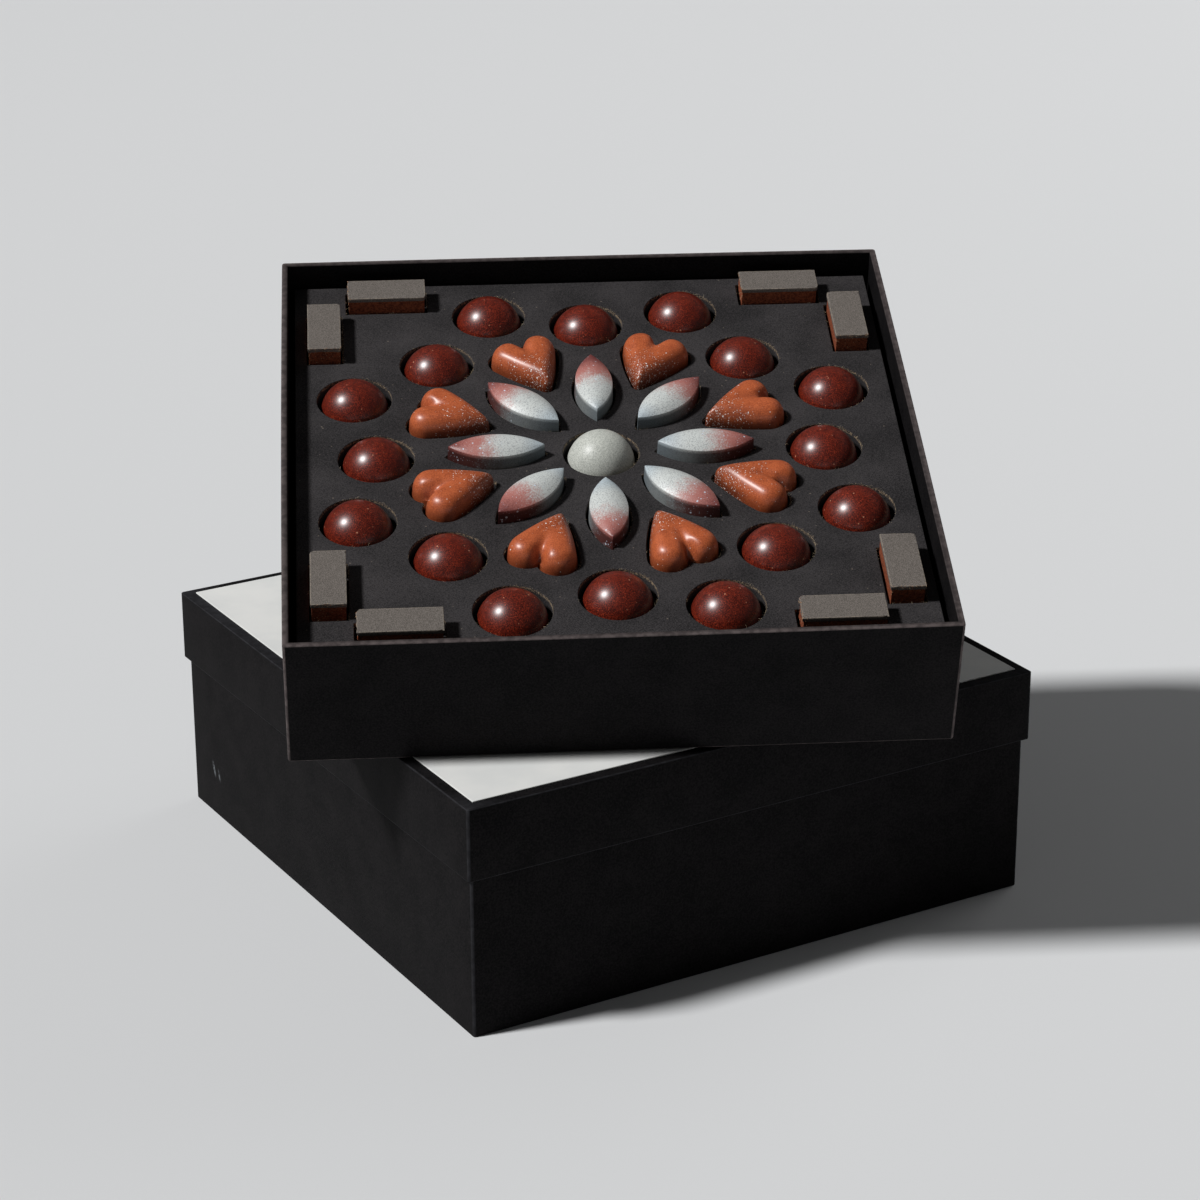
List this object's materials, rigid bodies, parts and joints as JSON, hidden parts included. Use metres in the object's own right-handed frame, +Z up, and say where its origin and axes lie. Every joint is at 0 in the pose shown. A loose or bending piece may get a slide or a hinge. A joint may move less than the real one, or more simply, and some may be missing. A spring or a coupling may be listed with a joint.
{
  "type": "box of chocolates",
  "caption": "Black gift box with a lift-off lid, carrying an open tray propped at a slant whose die-cut insert holds moulded chocolates that lift out.",
  "frame": {"origin": "centre of the closed box's underside, on the surface it stands on", "axes": "+Z up, -Y towards the closed box's front face, +X to the right seen from the front"},
  "size_m": [0.3462, 0.3486, 0.2314],
  "materials": {
    "black_paper": "matt, fine-grained wrap",
    "white_card": "smooth matt",
    "charcoal_board": "fibrous matt",
    "white_shell": "satin, sprayed",
    "petal_shell": "satin, sprayed, speckled",
    "heart_shell": "glossy, speckled",
    "marbled_shell": "glossy, marbled",
    "sawn_bar": "matt sheet on a sawn block"
  },
  "bodies": {
    "base": {"box_base": "black_paper"},
    "lid": {"box_lid": "black_paper", "lid_panel": "white_card"},
    "tray": {"tray_floor": "black_paper", "tray_front": "black_paper", "tray_right": "black_paper", "tray_back": "black_paper", "tray_left": "black_paper"},
    "insert": {"insert_platform": "charcoal_board", "die_cut_insert": "charcoal_board"},
    "prop": {"tray_prop": "black_paper"},
    "white_dome": {"white_dome": "white_shell"},
    "petal_1": {"petal_1": "petal_shell"},
    "petal_2": {"petal_2": "petal_shell"},
    "petal_3": {"petal_3": "petal_shell"},
    "petal_4": {"petal_4": "petal_shell"},
    "petal_5": {"petal_5": "petal_shell"},
    "petal_6": {"petal_6": "petal_shell"},
    "petal_7": {"petal_7": "petal_shell"},
    "petal_8": {"petal_8": "petal_shell"},
    "heart_1": {"heart_1": "heart_shell"},
    "heart_2": {"heart_2": "heart_shell"},
    "heart_3": {"heart_3": "heart_shell"},
    "heart_4": {"heart_4": "heart_shell"},
    "heart_5": {"heart_5": "heart_shell"},
    "heart_6": {"heart_6": "heart_shell"},
    "heart_7": {"heart_7": "heart_shell"},
    "heart_8": {"heart_8": "heart_shell"},
    "marbled_dome_1": {"marbled_dome_1": "marbled_shell"},
    "marbled_dome_2": {"marbled_dome_2": "marbled_shell"},
    "marbled_dome_3": {"marbled_dome_3": "marbled_shell"},
    "marbled_dome_4": {"marbled_dome_4": "marbled_shell"},
    "marbled_dome_5": {"marbled_dome_5": "marbled_shell"},
    "marbled_dome_6": {"marbled_dome_6": "marbled_shell"},
    "marbled_dome_7": {"marbled_dome_7": "marbled_shell"},
    "marbled_dome_8": {"marbled_dome_8": "marbled_shell"},
    "marbled_dome_9": {"marbled_dome_9": "marbled_shell"},
    "marbled_dome_10": {"marbled_dome_10": "marbled_shell"},
    "marbled_dome_11": {"marbled_dome_11": "marbled_shell"},
    "marbled_dome_12": {"marbled_dome_12": "marbled_shell"},
    "marbled_dome_13": {"marbled_dome_13": "marbled_shell"},
    "marbled_dome_14": {"marbled_dome_14": "marbled_shell"},
    "marbled_dome_15": {"marbled_dome_15": "marbled_shell"},
    "marbled_dome_16": {"marbled_dome_16": "marbled_shell"},
    "bar_1": {"bar_1": "sawn_bar"},
    "bar_2": {"bar_2": "sawn_bar"},
    "bar_3": {"bar_3": "sawn_bar"},
    "bar_4": {"bar_4": "sawn_bar"},
    "bar_5": {"bar_5": "sawn_bar"},
    "bar_6": {"bar_6": "sawn_bar"},
    "bar_7": {"bar_7": "sawn_bar"},
    "bar_8": {"bar_8": "sawn_bar"}
  },
  "joints": [
    {"name": "lid_lift", "type": "slide", "parent": "base", "child": "lid", "axis": [0, 0, 1], "range_m": [0, 0.06]},
    {"name": "tray_lift", "type": "slide", "parent": "lid", "child": "tray", "axis": [0, 0, 1], "range_m": [0, 0.06]},
    {"name": "insert_lift", "type": "slide", "parent": "tray", "child": "insert", "axis": [-0.1352, -0.2754, 0.9518], "range_m": [0, 0.065]},
    {"name": "prop_slide", "type": "slide", "parent": "lid", "child": "prop", "axis": [0.4407, 0.8976, 0], "range_m": [0, 0.04]},
    {"name": "white_dome_lift", "type": "slide", "parent": "insert", "child": "white_dome", "axis": [-0.1352, -0.2754, 0.9518], "range_m": [0, 0.03]},
    {"name": "petal_1_lift", "type": "slide", "parent": "insert", "child": "petal_1", "axis": [-0.1352, -0.2754, 0.9518], "range_m": [0, 0.03]},
    {"name": "petal_2_lift", "type": "slide", "parent": "insert", "child": "petal_2", "axis": [-0.1352, -0.2754, 0.9518], "range_m": [0, 0.03]},
    {"name": "petal_3_lift", "type": "slide", "parent": "insert", "child": "petal_3", "axis": [-0.1352, -0.2754, 0.9518], "range_m": [0, 0.03]},
    {"name": "petal_4_lift", "type": "slide", "parent": "insert", "child": "petal_4", "axis": [-0.1352, -0.2754, 0.9518], "range_m": [0, 0.03]},
    {"name": "petal_5_lift", "type": "slide", "parent": "insert", "child": "petal_5", "axis": [-0.1352, -0.2754, 0.9518], "range_m": [0, 0.03]},
    {"name": "petal_6_lift", "type": "slide", "parent": "insert", "child": "petal_6", "axis": [-0.1352, -0.2754, 0.9518], "range_m": [0, 0.03]},
    {"name": "petal_7_lift", "type": "slide", "parent": "insert", "child": "petal_7", "axis": [-0.1352, -0.2754, 0.9518], "range_m": [0, 0.03]},
    {"name": "petal_8_lift", "type": "slide", "parent": "insert", "child": "petal_8", "axis": [-0.1352, -0.2754, 0.9518], "range_m": [0, 0.03]},
    {"name": "heart_1_lift", "type": "slide", "parent": "insert", "child": "heart_1", "axis": [-0.1352, -0.2754, 0.9518], "range_m": [0, 0.03]},
    {"name": "heart_2_lift", "type": "slide", "parent": "insert", "child": "heart_2", "axis": [-0.1352, -0.2754, 0.9518], "range_m": [0, 0.03]},
    {"name": "heart_3_lift", "type": "slide", "parent": "insert", "child": "heart_3", "axis": [-0.1352, -0.2754, 0.9518], "range_m": [0, 0.03]},
    {"name": "heart_4_lift", "type": "slide", "parent": "insert", "child": "heart_4", "axis": [-0.1352, -0.2754, 0.9518], "range_m": [0, 0.03]},
    {"name": "heart_5_lift", "type": "slide", "parent": "insert", "child": "heart_5", "axis": [-0.1352, -0.2754, 0.9518], "range_m": [0, 0.03]},
    {"name": "heart_6_lift", "type": "slide", "parent": "insert", "child": "heart_6", "axis": [-0.1352, -0.2754, 0.9518], "range_m": [0, 0.03]},
    {"name": "heart_7_lift", "type": "slide", "parent": "insert", "child": "heart_7", "axis": [-0.1352, -0.2754, 0.9518], "range_m": [0, 0.03]},
    {"name": "heart_8_lift", "type": "slide", "parent": "insert", "child": "heart_8", "axis": [-0.1352, -0.2754, 0.9518], "range_m": [0, 0.03]},
    {"name": "marbled_dome_1_lift", "type": "slide", "parent": "insert", "child": "marbled_dome_1", "axis": [-0.1352, -0.2754, 0.9518], "range_m": [0, 0.03]},
    {"name": "marbled_dome_2_lift", "type": "slide", "parent": "insert", "child": "marbled_dome_2", "axis": [-0.1352, -0.2754, 0.9518], "range_m": [0, 0.03]},
    {"name": "marbled_dome_3_lift", "type": "slide", "parent": "insert", "child": "marbled_dome_3", "axis": [-0.1352, -0.2754, 0.9518], "range_m": [0, 0.03]},
    {"name": "marbled_dome_4_lift", "type": "slide", "parent": "insert", "child": "marbled_dome_4", "axis": [-0.1352, -0.2754, 0.9518], "range_m": [0, 0.03]},
    {"name": "marbled_dome_5_lift", "type": "slide", "parent": "insert", "child": "marbled_dome_5", "axis": [-0.1352, -0.2754, 0.9518], "range_m": [0, 0.03]},
    {"name": "marbled_dome_6_lift", "type": "slide", "parent": "insert", "child": "marbled_dome_6", "axis": [-0.1352, -0.2754, 0.9518], "range_m": [0, 0.03]},
    {"name": "marbled_dome_7_lift", "type": "slide", "parent": "insert", "child": "marbled_dome_7", "axis": [-0.1352, -0.2754, 0.9518], "range_m": [0, 0.03]},
    {"name": "marbled_dome_8_lift", "type": "slide", "parent": "insert", "child": "marbled_dome_8", "axis": [-0.1352, -0.2754, 0.9518], "range_m": [0, 0.03]},
    {"name": "marbled_dome_9_lift", "type": "slide", "parent": "insert", "child": "marbled_dome_9", "axis": [-0.1352, -0.2754, 0.9518], "range_m": [0, 0.03]},
    {"name": "marbled_dome_10_lift", "type": "slide", "parent": "insert", "child": "marbled_dome_10", "axis": [-0.1352, -0.2754, 0.9518], "range_m": [0, 0.03]},
    {"name": "marbled_dome_11_lift", "type": "slide", "parent": "insert", "child": "marbled_dome_11", "axis": [-0.1352, -0.2754, 0.9518], "range_m": [0, 0.03]},
    {"name": "marbled_dome_12_lift", "type": "slide", "parent": "insert", "child": "marbled_dome_12", "axis": [-0.1352, -0.2754, 0.9518], "range_m": [0, 0.03]},
    {"name": "marbled_dome_13_lift", "type": "slide", "parent": "insert", "child": "marbled_dome_13", "axis": [-0.1352, -0.2754, 0.9518], "range_m": [0, 0.03]},
    {"name": "marbled_dome_14_lift", "type": "slide", "parent": "insert", "child": "marbled_dome_14", "axis": [-0.1352, -0.2754, 0.9518], "range_m": [0, 0.03]},
    {"name": "marbled_dome_15_lift", "type": "slide", "parent": "insert", "child": "marbled_dome_15", "axis": [-0.1352, -0.2754, 0.9518], "range_m": [0, 0.03]},
    {"name": "marbled_dome_16_lift", "type": "slide", "parent": "insert", "child": "marbled_dome_16", "axis": [-0.1352, -0.2754, 0.9518], "range_m": [0, 0.03]},
    {"name": "bar_1_lift", "type": "slide", "parent": "insert", "child": "bar_1", "axis": [-0.1352, -0.2754, 0.9518], "range_m": [0, 0.03]},
    {"name": "bar_2_lift", "type": "slide", "parent": "insert", "child": "bar_2", "axis": [-0.1352, -0.2754, 0.9518], "range_m": [0, 0.03]},
    {"name": "bar_3_lift", "type": "slide", "parent": "insert", "child": "bar_3", "axis": [-0.1352, -0.2754, 0.9518], "range_m": [0, 0.03]},
    {"name": "bar_4_lift", "type": "slide", "parent": "insert", "child": "bar_4", "axis": [-0.1352, -0.2754, 0.9518], "range_m": [0, 0.03]},
    {"name": "bar_5_lift", "type": "slide", "parent": "insert", "child": "bar_5", "axis": [-0.1352, -0.2754, 0.9518], "range_m": [0, 0.03]},
    {"name": "bar_6_lift", "type": "slide", "parent": "insert", "child": "bar_6", "axis": [-0.1352, -0.2754, 0.9518], "range_m": [0, 0.03]},
    {"name": "bar_7_lift", "type": "slide", "parent": "insert", "child": "bar_7", "axis": [-0.1352, -0.2754, 0.9518], "range_m": [0, 0.03]},
    {"name": "bar_8_lift", "type": "slide", "parent": "insert", "child": "bar_8", "axis": [-0.1352, -0.2754, 0.9518], "range_m": [0, 0.03]}
  ]
}
